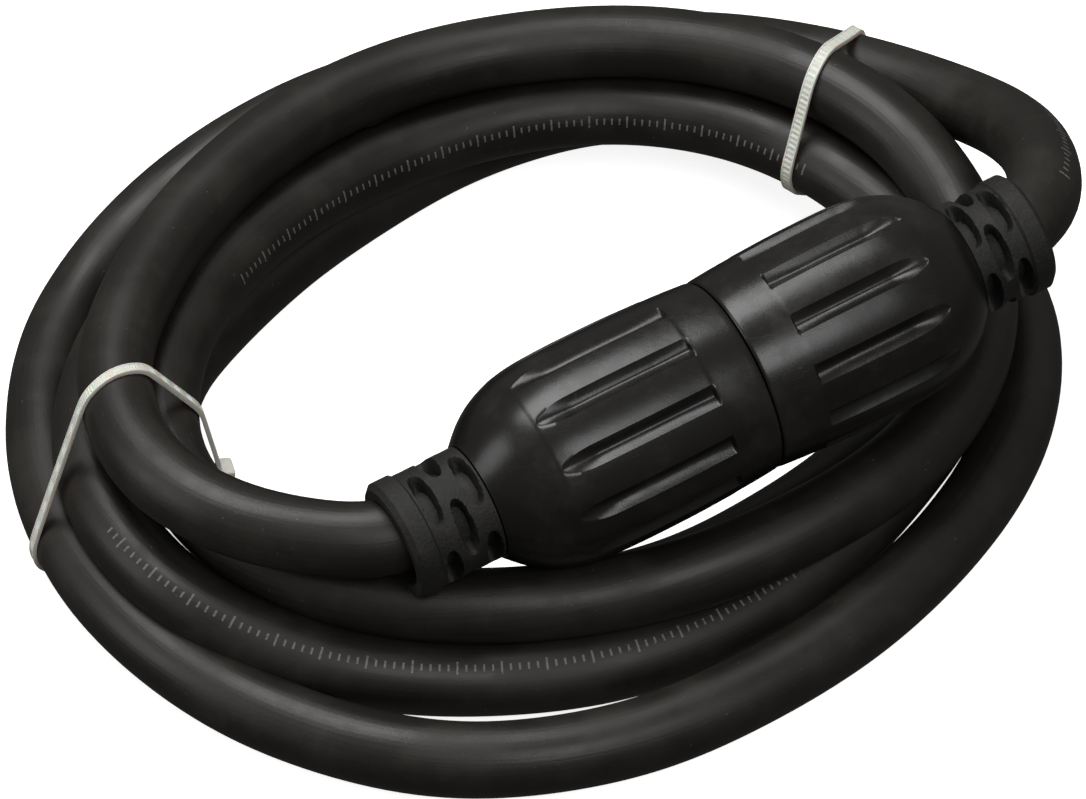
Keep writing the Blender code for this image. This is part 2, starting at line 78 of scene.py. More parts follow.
# ---- the cord ----
CORD_DIAMETER = 17.0 * MM
LAY_LOBES = 3.0
LAY_PITCH = 150.0 * MM
LAY_DEPTH = 0.06 * MM
RING_SPACING = 3.0 * MM
RING_POINTS = 36
SPLINE_SAMPLES = 12000
SMOOTHING_PASSES = 26
INSIDE_MOUTH_MM = 27.0
OUTSIDE_MOUTH_MM = 4.0
MOUTH_KNOTS = 5
PLUG_LEAD_MM = (
    (-44.6, -72.8, 41.5),
    (-56.6, -72.1, 42.0),
    (-67.6, -69.7, 43.0),
    (-77.7, -63.4, 43.5),
    (-86.4, -54.8, 43.5),
    (-93.1, -42.5, 43.0),
    (-96.4, -26.2, 42.8),
    (-96.4, -13.2, 42.5),
)
CONNECTOR_LEAD_MM = (
    (100.8, 73.0, 35.5),
    (108.5, 59.5, 42.0),
    (113.1, 41.8, 51.0),
    (114.2, 26.4, 58.0),
)
# the wound turns: distance from the coil's middle and height of the centreline, every 20 degrees
COIL_START_DEG = -200
COIL_STEP_DEG = -20
COIL_RADIUS_MM = (
    88, 86, 88, 91, 96, 102, 106, 105, 99, 90, 80, 75, 74, 77, 84, 91, 91, 85,
    80, 77, 78, 83, 90, 95, 97, 97, 95, 85, 80, 79, 82, 86, 97, 107, 108, 101,
    96, 99, 106, 111, 121, 124, 111, 95, 84, 71, 63, 61, 61, 65, 71, 78, 85, 89,
    81, 78, 81, 91, 104, 108, 111, 116, 110, 102, 98, 99, 105, 111, 113, 114, 115, 115,
    114, 106, 100, 101, 106, 117,
)
COIL_HEIGHT_MM = (
    40, 39, 38, 37, 37, 37, 35, 30, 27, 26.5, 25.5, 24, 23, 23, 23, 26, 27, 27,
    26, 25, 23, 22, 21, 21, 20, 19, 17, 14.5, 10.5, 9, 9, 9, 13, 20, 23, 21,
    17, 11, 9, 9, 9, 10, 20, 9, 9, 9, 9, 9, 9, 9, 9, 9, 9, 9,
    9, 9, 9, 9, 9, 9, 9, 9, 9, 9, 9, 9, 9, 9, 9, 9, 9, 9,
    9, 19, 25, 25, 26, 26,
)
REST_HEIGHT = 8.6 * MM
# the cord is cut into its two pieces where its last turn passes the right tie
RIGHT_TIE_DEG = 52.0
TIE_CUT_DEG = 1.5
LAST_STRETCH_DEG = 90.0
# where the ink line lies round the cord, in turns from its left side, against the run in metres
INK_LINE = (
    (0.0, -0.25),
    (0.52, -0.25),
    (0.69, 0.0),
    (0.735, 0.09),
    (0.9, 0.09),
    (1.05, 0.34),
    (1.22, 0.37),
    (1.45, 0.75),
    (2.6, 0.75),
    (2.73, 0.40),
    (2.9, 0.32),
)
# the ink on cord_to_connector starts this far back from the end of cord_wound's run
INK_SHIFT = 45.0 * MM


# ------------------------------------------------------------------------------ routes and meshes
def smooth_path(knots, spacing, passes):
    """Centripetal spline through the knots, resampled at an even spacing, then averaged.

    Between knots b and c, with neighbours a and d, a point is the cubic whose slopes are those
    of the parabolas through (a, b, c) and (b, c, d); each pass then mixes every point half and
    half with the middle of its two neighbours.
    """
    knots = np.asarray(knots, float)
    gaps = np.sqrt(np.linalg.norm(np.diff(knots, axis=0), axis=1))
    times = np.concatenate([[0.0], np.cumsum(gaps)])
    step = np.diff(knots, axis=0) / gaps[:, None]
    slope = np.empty_like(knots)
    weighed = step[:-1] * gaps[1:, None] + step[1:] * gaps[:-1, None]
    slope[1:-1] = weighed / (gaps[:-1] + gaps[1:])[:, None]
    slope[0] = step[0]
    slope[-1] = step[-1]
    fine = np.linspace(0.0, times[-1], SPLINE_SAMPLES)
    k = np.clip(np.searchsorted(times, fine, side="right") - 1, 0, len(gaps) - 1)
    t = ((fine - times[k]) / gaps[k])[:, None]
    h = gaps[k][:, None]
    dense = (
        knots[k] * (2 * t**3 - 3 * t**2 + 1)
        + knots[k + 1] * (3 * t**2 - 2 * t**3)
        + slope[k] * h * (t**3 - 2 * t**2 + t)
        + slope[k + 1] * h * (t**3 - t**2)
    )
    path = even(dense, spacing)
    for _ in range(passes):
        path[1:-1] = 0.5 * path[1:-1] + 0.25 * (path[:-2] + path[2:])
    return even(path, spacing)


def even(line, spacing):
    """The same line with its points an even distance apart."""
    run = np.concatenate([[0.0], np.cumsum(np.linalg.norm(np.diff(line, axis=0), axis=1))])
    wanted = np.linspace(0.0, run[-1], int(round(run[-1] / spacing)) + 1)
    return np.stack([np.interp(wanted, run, line[:, axis]) for axis in range(3)], axis=1)


def grid_mesh(name, points, around, cap=(), uv=None):
    """A mesh from rows of points: points[i, j] is row i, column j.

    around closes each row on itself; "rows" in cap closes the last row to the first; "start" and
    "end" in cap put a fan over that end. uv gives u and v for each corner, one column more than
    the points where the rows close.
    """
    rows, columns = points.shape[:2]
    index = np.arange(rows * columns).reshape(rows, columns)
    next_column = np.roll(index, -1, axis=1) if around else index[:, 1:]
    this_column = index if around else index[:, :-1]
    if "rows" in cap:
        below, above = np.arange(rows), np.roll(np.arange(rows), -1)
    else:
        below, above = np.arange(rows - 1), np.arange(1, rows)
    faces = np.stack(
        [this_column[below], next_column[below], next_column[above], this_column[above]], axis=-1
    ).reshape(-1, 4)
    vertices = points.reshape(-1, 3)
    lists = [faces]
    for end, row, turn in (("start", 0, -1), ("end", rows - 1, 1)):
        if end in cap:
            middle = len(vertices)
            vertices = np.vstack([vertices, points[row].mean(axis=0)])
            ring = index[row]
            fan = np.stack([ring, np.roll(ring, -1), np.full(columns, middle)], axis=-1)
            lists.append(fan[:, ::turn])
    mesh = bpy.data.meshes.new(name)
    mesh.from_pydata(vertices.tolist(), [], [face for part in lists for face in part.tolist()])
    if uv is not None:
        across = np.arange(columns) if around else np.arange(columns - 1)
        i, j = np.meshgrid(below, across, indexing="ij")
        up = i + 1
        corners = np.stack([uv[i, j], uv[i, j + 1], uv[up, j + 1], uv[up, j]], axis=2).reshape(-1, 2)
        extra = len(mesh.loops) - len(corners)
        corners = np.vstack([corners, np.zeros((extra, 2))])
        layer = mesh.uv_layers.new(name="along")
        layer.data.foreach_set("uv", corners.astype(np.float32).ravel())
    mesh.polygons.foreach_set("use_smooth", np.ones(len(mesh.polygons), bool))
    mesh.update()
    return mesh


def piece(name, mesh, finish, sharp_deg=None):
    """A shown piece: its mesh and its finish, with sharp edges above an angle where one is given."""
    obj = bpy.data.objects.new(name, mesh)
    bpy.context.scene.collection.objects.link(obj)
    mesh.materials.append(finish)
    if sharp_deg is not None:
        mesh.set_sharp_from_angle(angle=math.radians(sharp_deg))
    return obj


def cord_tube(name, path, run_start, finish):
    """A tube along a path. Ring point j of row i stands off the path by the cord's radius.

    The radius carries three very shallow lobes that turn once every LAY_PITCH, as the three
    twisted conductors show through a jacket. u goes round the cord from 0 to 1 and v is the run
    along it in metres.
    """
    along = np.gradient(path, axis=0)
    along /= np.linalg.norm(along, axis=1)[:, None]
    side = np.cross(along, [0.0, 0.0, 1.0])
    side /= np.linalg.norm(side, axis=1)[:, None]
    top = np.cross(side, along)
    steps = np.linalg.norm(np.diff(path, axis=0), axis=1)
    run = run_start + np.concatenate([[0.0], np.cumsum(steps)])
    angle = TURN * np.arange(RING_POINTS) / RING_POINTS
    lobes = np.cos(LAY_LOBES * (angle[None, :] - TURN * run[:, None] / LAY_PITCH))
    radius = CORD_DIAMETER / 2.0 + LAY_DEPTH * lobes
    spoke = np.cos(angle)[None, :, None] * side[:, None, :] + np.sin(angle)[None, :, None] * top[:, None, :]
    points = path[:, None, :] + radius[..., None] * spoke
    u, v = np.meshgrid(np.arange(RING_POINTS + 1) / RING_POINTS, run)
    u = u - np.interp(run, *np.transpose(INK_LINE))[:, None]
    uv = np.stack([u[:, ::-1], v], axis=-1)
    return piece(name, grid_mesh(name, points[:, ::-1], True, ("start", "end"), uv), finish)


# ------------------------------------------------------------------------------ shader arithmetic
MIX_COLOUR_OUTPUT = 2


class Shade:
    """A socket of a material's node tree. Python operators on it add Math nodes to the tree."""

    def __init__(self, tree, out):
        self.tree = tree
        self.out = out

    def node(self, kind, settings, sockets, output=0):
        """Add any node: its settings are set first, then its sockets are linked or given values."""
        made = self.tree.nodes.new(kind)
        for key, value in settings.items():
            if key == "stops":
                ramp = made.color_ramp
                while len(ramp.elements) < len(value):
                    ramp.elements.new(0.5)
                for element, (position, colour) in zip(ramp.elements, value):
                    element.position = position
                    element.color = (*colour, 1.0)
            else:
                setattr(made, key, value)
        for key, value in sockets.items():
            if isinstance(value, Shade):
                self.tree.links.new(value.out, made.inputs[key])
            else:
                made.inputs[key].default_value = value
        return Shade(self.tree, made.outputs[output])

    def maths(self, operation, left, right=0.0):
        return self.node("ShaderNodeMath", {"operation": operation}, {0: left, 1: right})

    def __add__(self, other):
        return self.maths("ADD", self, other)

    def __radd__(self, other):
        return self.maths("ADD", other, self)

    def __sub__(self, other):
        return self.maths("SUBTRACT", self, other)

    def __rsub__(self, other):
        return self.maths("SUBTRACT", other, self)

    def __mul__(self, other):
        return self.maths("MULTIPLY", self, other)

    def __rmul__(self, other):
        return self.maths("MULTIPLY", other, self)

    def __truediv__(self, other):
        return self.maths("DIVIDE", self, other)

    def __mod__(self, other):
        return self.maths("FLOORED_MODULO", self, other)

    def over(self, level):
        """1 where this is above the level, else 0."""
        return self.maths("GREATER_THAN", self, level)

    def size(self):
        return self.maths("ABSOLUTE", self)

    def band(self, low, high):
        """0 below low, 1 above high, and a smooth step between."""
        sockets = {"Value": self, "From Min": low, "From Max": high}
        return self.node("ShaderNodeMapRange", {"interpolation_type": "SMOOTHSTEP"}, sockets)

    def noise(self, scale, detail=3.0, roughness=0.5):
        """Cloudy values about 0.5 at this many cells a metre, with this socket as the place."""
        values = {"Vector": self, "Scale": scale, "Detail": detail, "Roughness": roughness}
        return self.node("ShaderNodeTexNoise", {}, values)

    def stretched(self, x, y, z):
        """This place with each of its three numbers multiplied."""
        return self.node("ShaderNodeVectorMath", {"operation": "MULTIPLY"}, {0: self, 1: (x, y, z)})

    def tint(self, dark, light):
        """A colour from dark, where this is 0, to light, where it is 1."""
        sockets = {"Factor": self, "A": (*dark, 1.0), "B": (*light, 1.0)}
        return self.node("ShaderNodeMix", {"data_type": "RGBA"}, sockets, MIX_COLOUR_OUTPUT)


def new_finish(name, constants):
    """A material with these constants on its shader, and the Object coordinates in it."""
    made = bpy.data.materials.new(name)
    made.use_nodes = True
    tree = made.node_tree
    shader = tree.nodes["Principled BSDF"]
    for socket, value in constants.items():
        shader.inputs[socket].default_value = value
    return made, Shade(tree, None).node("ShaderNodeTexCoord", {}, {}, "Object")


def wire_up(made, colour=None, roughness=None, height=None, depth=0.0, strength=1.0):
    """Link what varies over the surface: colour, roughness, and a bump of the given depth."""
    tree = made.node_tree
    shader = tree.nodes["Principled BSDF"]
    if colour is not None:
        tree.links.new(colour.out, shader.inputs["Base Color"])
    if roughness is not None:
        tree.links.new(roughness.out, shader.inputs["Roughness"])
    if height is not None:
        sockets = {"Height": height, "Strength": strength, "Distance": depth}
        bump = height.node("ShaderNodeBump", {}, sockets)
        tree.links.new(bump.out, shader.inputs["Normal"])
    return made


# ------------------------------------------------------------------------------ finishes
# the ink scale: pitch and repeat along the cord, and the ticks' reach round it in turns
TICK_PITCH = 2.0 * MM
TALL_TICK_EVERY = 5.0
INK_REPEAT = 315.0 * MM
INK_MIDDLE = 820.0 * MM
INK_HALF_SHARE = 0.27
INK_FADE_SHARE = 0.002
SHORT_TICK = 0.014
TALL_TICK = 0.027
INK_COLOUR = (0.17, 0.17, 0.165, 1.0)
JACKET_DARK = (0.0112, 0.0097, 0.0078)
JACKET_LIGHT = (0.0320, 0.0283, 0.0232)
DUST_SHARE = 0.45


def jacket_finish():
    """Black jacket rubber: fine drawn lines along it, dull scuffs, dust, and ink ticks on one line."""
    made, here = new_finish("jacket_rubber", {"Specular IOR Level": 0.5})
    surface = here.node("ShaderNodeTexCoord", {}, {}, "UV")
    lines = surface.stretched(60.0, 9.0, 1.0).noise(1.0, 2.0)
    grain = here.noise(1700.0, 3.0, 0.6)
    smudge = here.noise(38.0, 5.0, 0.62).band(0.42, 0.68)
    wear = here.noise(130.0, 4.0, 0.6).band(0.55, 0.80)
    dust = here.noise(1150.0, 1.0).band(0.775, 0.80)
    around = surface.node("ShaderNodeSeparateXYZ", {}, {"Vector": surface}, "X")
    along = surface.node("ShaderNodeSeparateXYZ", {}, {"Vector": surface}, "Y")
    ink = ink_ticks(around, along, here)
    rubber = (smudge * 0.45 + wear * 0.3 + lines * 0.25).tint(JACKET_DARK, JACKET_LIGHT)
    marks = ink + dust * DUST_SHARE
    mixed = {"Factor": marks.maths("MINIMUM", marks, 1.0), "A": rubber, "B": INK_COLOUR}
    colour = rubber.node("ShaderNodeMix", {"data_type": "RGBA"}, mixed, MIX_COLOUR_OUTPUT)
    roughness = 0.34 + smudge * 0.14 + wear * 0.08 + grain * 0.08 + lines * 0.05
    height = grain * 0.3 + lines * 0.5 + smudge * 0.2
    return wire_up(made, colour, roughness, height, 0.17 * MM, 0.55)


def ink_ticks(around, along, here):
    """A plain measuring scale in pale ink: short ticks with every fifth one tall; no lettering."""
    count = along / TICK_PITCH
    stroke = 1.0 - (count % 1.0 - 0.5).size().band(0.09, 0.14)
    tall = ((count / TALL_TICK_EVERY) % 1.0 - 0.5).size()
    reach = SHORT_TICK + (TALL_TICK - SHORT_TICK) * (1.0 - tall.over(0.5 / TALL_TICK_EVERY))
    off = ((around + 0.5) % 1.0 - 0.5).size()
    inside = 1.0 - (off - reach).band(-0.001, 0.002)
    share = (((along - INK_MIDDLE) / INK_REPEAT + 0.5) % 1.0 - 0.5).size()
    group = 1.0 - share.band(INK_HALF_SHARE, INK_HALF_SHARE + INK_FADE_SHARE)
    worn = here.noise(2600.0, 2.0).band(0.33, 0.43)
    return stroke * inside * group * worn


def housing_finish():
    """Black moulded vinyl: satin gloss with faint orange peel, light rubbing and small pits."""
    made, here = new_finish("housing_vinyl", {"Specular IOR Level": 0.5})
    peel = here.noise(420.0, 2.0)
    grain = here.noise(2400.0, 3.0, 0.6)
    rubbed = here.noise(70.0, 5.0, 0.65).band(0.48, 0.76)
    specks = here.noise(1500.0, 1.0).band(0.77, 0.80)
    hairline = (here.stretched(0.25, 1.0, 1.0).noise(240.0, 2.0, 0.4) - 0.5).size()
    scratch = (1.0 - hairline.band(0.0, 0.006)) * here.noise(90.0, 1.0).band(0.56, 0.64)
    marks = rubbed * 0.45 + specks * 0.7 + scratch * 0.35
    colour = marks.tint((0.0090, 0.0082, 0.0075), (0.034, 0.0315, 0.029))
    roughness = 0.22 + rubbed * 0.12 + grain * 0.08 + scratch * 0.1
    height = peel * 0.5 + grain * 0.35 - scratch * 0.15
    return wire_up(made, colour, roughness, height, 0.10 * MM, 0.35)


def relief_finish():
    """Black rubber with a coarse spark-eroded grain, dull, and paler on its rubbed high spots."""
    made, here = new_finish("relief_rubber", {"Specular IOR Level": 0.45})
    coarse = here.noise(1250.0, 4.0, 0.65)
    rubbed = here.noise(120.0, 4.0, 0.6).band(0.45, 0.75)
    marks = coarse.band(0.45, 0.75) * 0.5 + rubbed * 0.5
    colour = marks.tint((0.0105, 0.0098, 0.0092), (0.038, 0.036, 0.033))
    roughness = 0.50 + coarse * 0.25
    return wire_up(made, colour, roughness, coarse, 0.30 * MM, 0.8)


def insert_finish():
    """Black thermoset face: fine matt grain with faint circular flow marks."""
    made, here = new_finish("insert_thermoset", {"Specular IOR Level": 0.5})
    grain = here.noise(2100.0, 3.0)
    cloud = here.noise(160.0, 3.0).band(0.4, 0.7)
    colour = cloud.tint((0.012, 0.012, 0.012), (0.034, 0.033, 0.032))
    return wire_up(made, colour, 0.42 + grain * 0.2, grain, 0.12 * MM, 0.5)


def brass_finish():
    """Drawn brass with fine scratches and a little tarnish."""
    made, here = new_finish("contact_brass", {"Metallic": 1.0})
    scratches = here.stretched(1.0, 1.0, 9.0).noise(900.0, 3.0)
    tarnish = here.noise(260.0, 4.0).band(0.5, 0.75)
    colour = tarnish.tint((0.78, 0.60, 0.28), (0.46, 0.33, 0.15))
    return wire_up(made, colour, 0.22 + scratches * 0.15 + tarnish * 0.2, scratches, 0.05 * MM, 0.4)


def insulation_finish(name, dark, light):
    """Wire insulation: smooth vinyl with faint drawn streaks."""
    made, here = new_finish(name, {"Specular IOR Level": 0.5})
    streaks = here.noise(800.0, 3.0)
    return wire_up(made, streaks.tint(dark, light), 0.35 + streaks * 0.2, streaks, 0.05 * MM, 0.3)


def nylon_finish():
    """Natural nylon: milky, slightly see-through, a little yellow, with faint moulding ripple."""
    constants = {"Subsurface Weight": 0.3, "Subsurface Scale": 0.002, "IOR": 1.5}
    made, here = new_finish("tie_nylon", constants)
    cloud = here.noise(500.0, 3.0)
    ripple = here.noise(1800.0, 2.0)
    colour = cloud.tint((0.74, 0.735, 0.65), (0.88, 0.875, 0.80))
    return wire_up(made, colour, 0.30 + cloud * 0.15, ripple, 0.06 * MM, 0.4)


def floor_finish():
    """White seamless card, evenly bright, with a barely visible grain."""
    constants = {
        "Specular IOR Level": 0.1,
        "Emission Color": (1.0, 1.0, 1.0, 1.0),
        "Emission Strength": 0.85,
    }
    made, here = new_finish("white_card", constants)
    grain = here.noise(300.0, 2.0)
    return wire_up(made, grain.tint((0.90, 0.90, 0.90), (0.93, 0.93, 0.93)), 0.75 + grain * 0.1)


JACKET = jacket_finish()
HOUSING = housing_finish()
RELIEF = relief_finish()
INSERT = insert_finish()
BRASS = brass_finish()
NYLON = nylon_finish()
LINE_WIRE = insulation_finish("line_vinyl", (0.012, 0.012, 0.012), (0.03, 0.03, 0.03))
NEUTRAL_WIRE = insulation_finish("neutral_vinyl", (0.66, 0.66, 0.63), (0.82, 0.82, 0.79))
EARTH_WIRE = insulation_finish("earth_vinyl", (0.01, 0.20, 0.05), (0.02, 0.32, 0.09))


# ------------------------------------------------------------------------------ camera
VIEW_TARGET = Vector((0.0, 12.0, 0.0)) * MM
VIEW_DISTANCE = 1.8
VIEW_ELEVATION = math.radians(45.0)
SENSOR_MM = 36.0
LENS_MM = 258.37
CLIP_START = 0.05
CLIP_END = 20.0


def make_camera():
    """The camera looks along +Y and down at its target."""
    data = bpy.data.cameras.new("camera")
    data.sensor_width = SENSOR_MM
    data.lens = LENS_MM
    data.clip_start = CLIP_START
    data.clip_end = CLIP_END
    camera = bpy.data.objects.new("camera", data)
    bpy.context.scene.collection.objects.link(camera)
    back = Vector((0.0, -math.cos(VIEW_ELEVATION), math.sin(VIEW_ELEVATION)))
    camera.location = VIEW_TARGET + back * VIEW_DISTANCE
    camera.rotation_mode = "QUATERNION"
    camera.rotation_quaternion = (-back).to_track_quat("-Z", "Y")
    bpy.context.scene.camera = camera


make_camera()


# ------------------------------------------------------------------------------ the cord's route
def pair_point(along_mm):
    """A point on the pair axis, this far from the seam towards the connector."""
    return SEAM_MIDDLE + PAIR_AXIS * along_mm * MM


def cord_route():
    """Centreline of the whole cord, from the plug's throat round the coil to the connector's.

    Also gives how far both mouths lie from the seam, in millimetres.
    """
    plug_mouth = PLUG_SHELL_MM + RELIEF_GAP_MM + PLUG_RELIEF_MM
    connector_mouth = CONNECTOR_SHELL_MM + RELIEF_GAP_MM + CONNECTOR_RELIEF_MM
    angle = np.radians(COIL_START_DEG + COIL_STEP_DEG * np.arange(len(COIL_RADIUS_MM)))
    radius = np.array(COIL_RADIUS_MM) * MM
    height = np.array(COIL_HEIGHT_MM) * MM
    wound = np.stack([radius * np.cos(angle), radius * np.sin(angle), height], axis=1)
    stretch = np.linspace(-INSIDE_MOUTH_MM, OUTSIDE_MOUTH_MM, MOUTH_KNOTS)
    out = [pair_point(-plug_mouth - s) for s in stretch]
    back = [pair_point(connector_mouth + s) for s in stretch[::-1]]
    knots = np.vstack([out, np.array(PLUG_LEAD_MM) * MM, wound, np.array(CONNECTOR_LEAD_MM) * MM, back])
    path = smooth_path(knots, RING_SPACING, SMOOTHING_PASSES)
    path[:, 2] = np.maximum(path[:, 2], REST_HEIGHT)
    return path, plug_mouth, connector_mouth


route, plug_mouth_mm, connector_mouth_mm = cord_route()
azimuth = np.degrees(np.unwrap(np.arctan2(route[:, 1], route[:, 0])))
last_stretch = azimuth < azimuth[-1] + LAST_STRETCH_DEG
at_tie = np.cos(np.radians(azimuth - RIGHT_TIE_DEG)) > math.cos(math.radians(TIE_CUT_DEG))
split = int(np.argmax(last_stretch & at_tie))
wound_path = route[: split + 1]
lead_path = route[split:]
wound_run = float(np.linalg.norm(np.diff(wound_path, axis=0), axis=1).sum())

cord_wound = cord_tube("cord_wound", wound_path, 0.0, JACKET)
cord_lead = cord_tube("cord_to_connector", lead_path, wound_run - INK_SHIFT, JACKET)


# ------------------------------------------------------------------------------ housings and reliefs
def on_axis(side, along_mm, radius_mm, angle):
    """Points round the pair axis: along_mm from the seam on one side, at a radius and an angle."""
    along = side * along_mm * MM
    across = radius_mm * MM
    return (
        SEAM_MIDDLE
        + along[..., None] * PAIR_AXIS
        + (across * np.cos(angle))[..., None] * PAIR_SIDE
        + (across * np.sin(angle))[..., None] * PAIR_TOP
    )


FLUTES = 12
PLUG_FLUTE_END_MM = 50.5
PLUG_FLUTE_TURN = math.radians(15.0)
CONNECTOR_FLUTE_END_MM = 46.0
CONNECTOR_FLUTE_TURN = 0.0
FLUTE_START_MM = 11.6
FLUTE_FLOOR_MM = 22.3
FLUTE_DEPTH_MM = 1.8
FLUTE_HALF_WIDTH_MM = 2.5
FLUTE_SECTION_POWER = 1.7
FLUTE_ARCH_MM = 9.0
FLUTE_COLUMNS = 12
LAND_COLUMNS = 12
FLUTE_OPENING_MM = 0.5
FLUTE_LEAST_DEPTH_MM = 0.9
FLUTE_LEAST_HALF_WIDTH_MM = 0.05
SHELL_BLUR_PASSES = 40
SHELL_SHARP_DEG = 32.0
# the bore for the cord, the room for the wiring and the seat of the face insert
CORD_BORE_MM = 8.9
WIRING_RADIUS_MM = 13.6
INSERT_SEAT_MM = 17.0
INSERT_DEPTH_MM = 18.2
THROAT_MM = 9.0
WIRING_END_FROM_NECK_MM = 17.0
SEAM_FACE_MM = 0.2
SHELL_PROFILE_MM = ((0.0, 22.3), (0.7, 23.0), (12.0, 23.75), (21.0, 24.15), (28.0, 24.2), (36.0, 24.2))
# the dome, with the distance from the seam as a share of the shell's length
SHELL_DOME_MM = (
    (0.69, 23.85),
    (0.75, 23.3),
    (0.82, 22.0),
    (0.87, 20.6),
    (0.92, 18.7),
    (0.96, 16.6),
    (1.0, 13.8),
)


def housing(name, side, length_mm, flute_end_mm, turn, replaced):
    """A fluted hollow housing, r(x, angle) round the pair axis.

    The outer radius is a smooth profile of x, less the depth of twelve flutes. A flute's depth
    falls from its middle line to its edge as 1 minus the share across to a power. Over the last
    stretch on the dome its half width follows a quarter ellipse and its depth a square root, which
    gives an arched end. The columns follow the flutes' edges, so these stay crisp.
    """
    knots = np.array(SHELL_PROFILE_MM + tuple((share * length_mm, r) for share, r in SHELL_DOME_MM))
    x = np.concatenate(
        [
            [SEAM_FACE_MM, 0.32, 0.5, 0.75, 1.1],
            np.linspace(2.0, FLUTE_START_MM - 0.7, 12),
            FLUTE_START_MM + np.array([-0.35, -0.15, 0.0, 0.15, 0.35, 0.7]),
            np.linspace(FLUTE_START_MM + 1.2, flute_end_mm, 66),
            np.linspace(flute_end_mm + 0.3, length_mm, 30),
        ]
    )
    radius = np.interp(x, knots[:, 0], knots[:, 1])
    blurred = radius.copy()
    for _ in range(SHELL_BLUR_PASSES):
        blurred[3:-1] = 0.5 * blurred[3:-1] + 0.25 * (blurred[2:-2] + blurred[4:])
    opened = np.clip((x - FLUTE_START_MM) / FLUTE_OPENING_MM + 0.5, 0.0, 1.0)
    left = np.clip((flute_end_mm - x) / FLUTE_ARCH_MM, 0.0, 1.0)
    stock = np.clip(blurred - FLUTE_FLOOR_MM, FLUTE_LEAST_DEPTH_MM, FLUTE_DEPTH_MM)
    depth = stock * opened * np.sqrt(left)
    half_width = FLUTE_HALF_WIDTH_MM * np.sqrt(1.0 - (1.0 - left) ** 2)
    half_width = np.maximum(half_width, FLUTE_LEAST_HALF_WIDTH_MM)
    cell = TURN / FLUTES
    flute_share = np.linspace(-1.0, 1.0, FLUTE_COLUMNS + 1)
    land_share = np.linspace(0.0, 1.0, LAND_COLUMNS + 1)[1:-1]
    half_angle = (half_width / blurred)[:, None]
    flute_angle = half_angle * flute_share[None, :]
    land_angle = half_angle + (cell - 2.0 * half_angle) * land_share[None, :]
    one = np.concatenate([flute_angle, land_angle], axis=1)
    shape = np.concatenate([1.0 - np.abs(flute_share) ** FLUTE_SECTION_POWER, np.zeros(len(land_share))])
    angle = np.concatenate([one + cell * k for k in range(FLUTES)], axis=1) + turn
    dip = depth[:, None] * np.tile(shape, FLUTES)[None, :]
    columns = angle.shape[1]
    outer = on_axis(side, np.repeat(x[:, None], columns, axis=1), blurred[:, None] - dip, angle)
    inner_mm = np.array(
        [
            (length_mm, CORD_BORE_MM),
            (length_mm - THROAT_MM, CORD_BORE_MM),
            (length_mm - WIRING_END_FROM_NECK_MM, WIRING_RADIUS_MM),
            (INSERT_DEPTH_MM, WIRING_RADIUS_MM),
            (INSERT_DEPTH_MM, INSERT_SEAT_MM),
            (SEAM_FACE_MM, INSERT_SEAT_MM),
        ]
    )
    even_angle = np.tile(angle[:1], (len(inner_mm), 1))
    inner = on_axis(side, np.repeat(inner_mm[:, :1], columns, axis=1), inner_mm[:, 1:], even_angle)
    points = np.concatenate([outer, inner], axis=0)
    if side > 0:
        points = points[:, ::-1]
    mesh = grid_mesh(name, points, True, ("rows",))
    obj = piece(name, mesh, HOUSING, SHELL_SHARP_DEG)
    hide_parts(replaced)
    return obj


plug_housing = housing(
    "plug_housing", -1.0, PLUG_SHELL_MM, PLUG_FLUTE_END_MM, PLUG_FLUTE_TURN, "plug_grip_shell"
)
connector_housing = housing(
    "connector_housing",
    1.0,
    CONNECTOR_SHELL_MM,
    CONNECTOR_FLUTE_END_MM,
    CONNECTOR_FLUTE_TURN,
    "connector_grip_shell",
)

SLOT_ROWS = 3
SLOTS_PER_ROW = 4
SLOT_HALF_LENGTH_DEG = 29.0
SLOT_HALF_WIDTH_MM = 1.8
SLOT_DEPTH_MM = 3.9
SLOT_ROUNDNESS = 2.5
SLOT_WALL_SHARE = 0.10
PLUG_SLOT_TURN = math.radians(13.0)
CONNECTOR_SLOT_TURN = math.radians(4.0)
RELIEF_RADIUS_MM = 13.4
COLLAR_MM = 5.8
COLLAR_STEP_MM = 0.6
COLLAR_RAMP_MM = 0.5
RELIEF_CHAMFER_MM = 1.2
MOUTH_RADIUS_MM = 10.5
MOUTH_DEPTH_MM = 5.0
RELIEF_COLUMNS = 240
RELIEF_SHARP_DEG = 40.0


